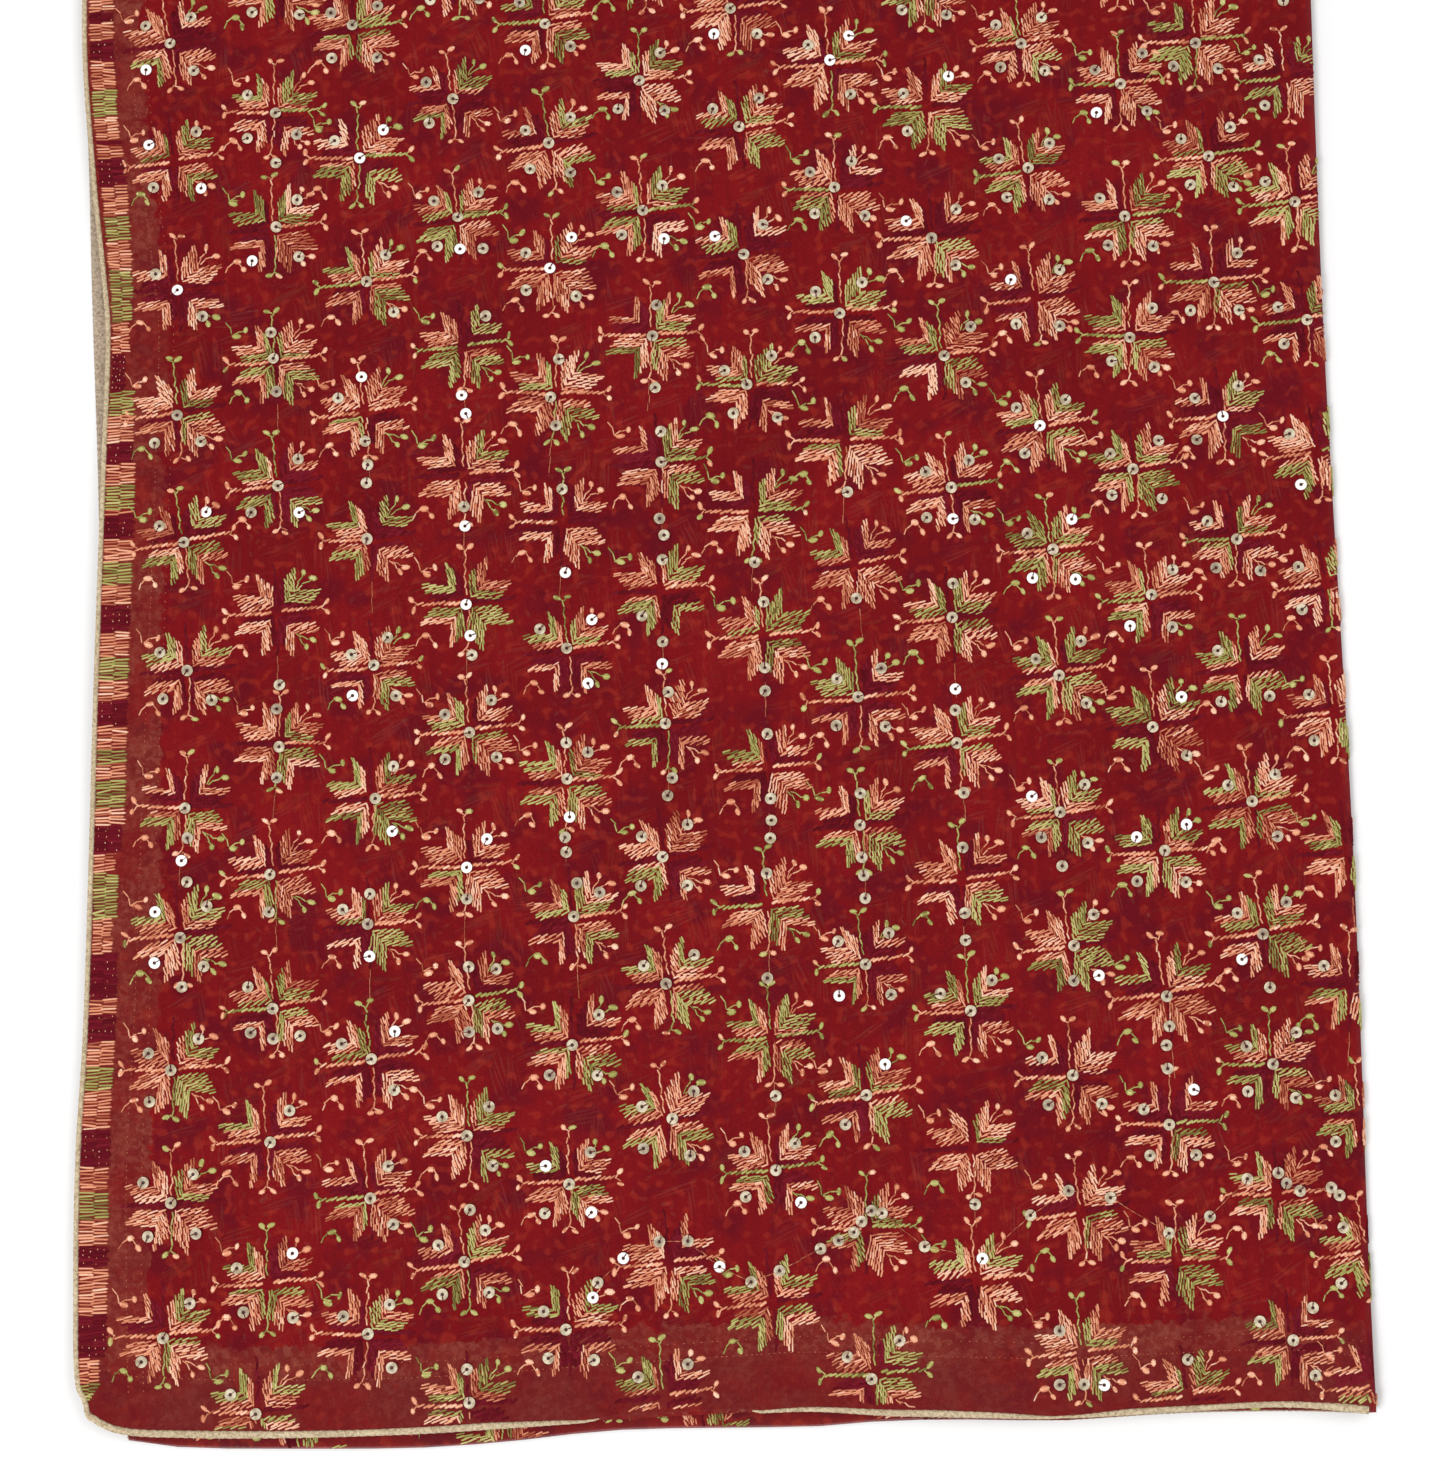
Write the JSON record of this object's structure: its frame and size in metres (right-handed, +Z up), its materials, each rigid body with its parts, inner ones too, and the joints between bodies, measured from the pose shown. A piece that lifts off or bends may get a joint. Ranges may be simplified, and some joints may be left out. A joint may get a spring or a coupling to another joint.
{
  "type": "phulkari shawl, folded",
  "caption": "Sheer embroidered phulkari shawl, folded once along its length and laid flat, with a round fold on one side and taped open edges on the other.",
  "frame": {"origin": "bottom centre of the folded shawl, on the surface that it lies on", "axes": "+X across towards the fold, +Y along the shawl from the hem shown in front to the far hem, +Z up"},
  "size_m": [0.5, 2.2996, 0.0081],
  "materials": {
    "cloth": "sheer dark red georgette",
    "facing": "plain weave, brownish red",
    "tape": "woven tape of speckled gold yarn",
    "thread_peach": "soft peach embroidery yarn",
    "thread_green": "soft green embroidery yarn",
    "thread_maroon": "soft maroon embroidery yarn",
    "sequin": "clear silvery film discs"
  },
  "bodies": {
    "root": {"cloth_folded": "cloth", "facing_side": "facing", "facing_near_end": "facing", "facing_far_end": "facing", "tape_upper": "tape", "tape_lower_side": "tape", "tape_lower_near_end": "tape", "tape_lower_far_end": "tape"}
  },
  "joints": []
}
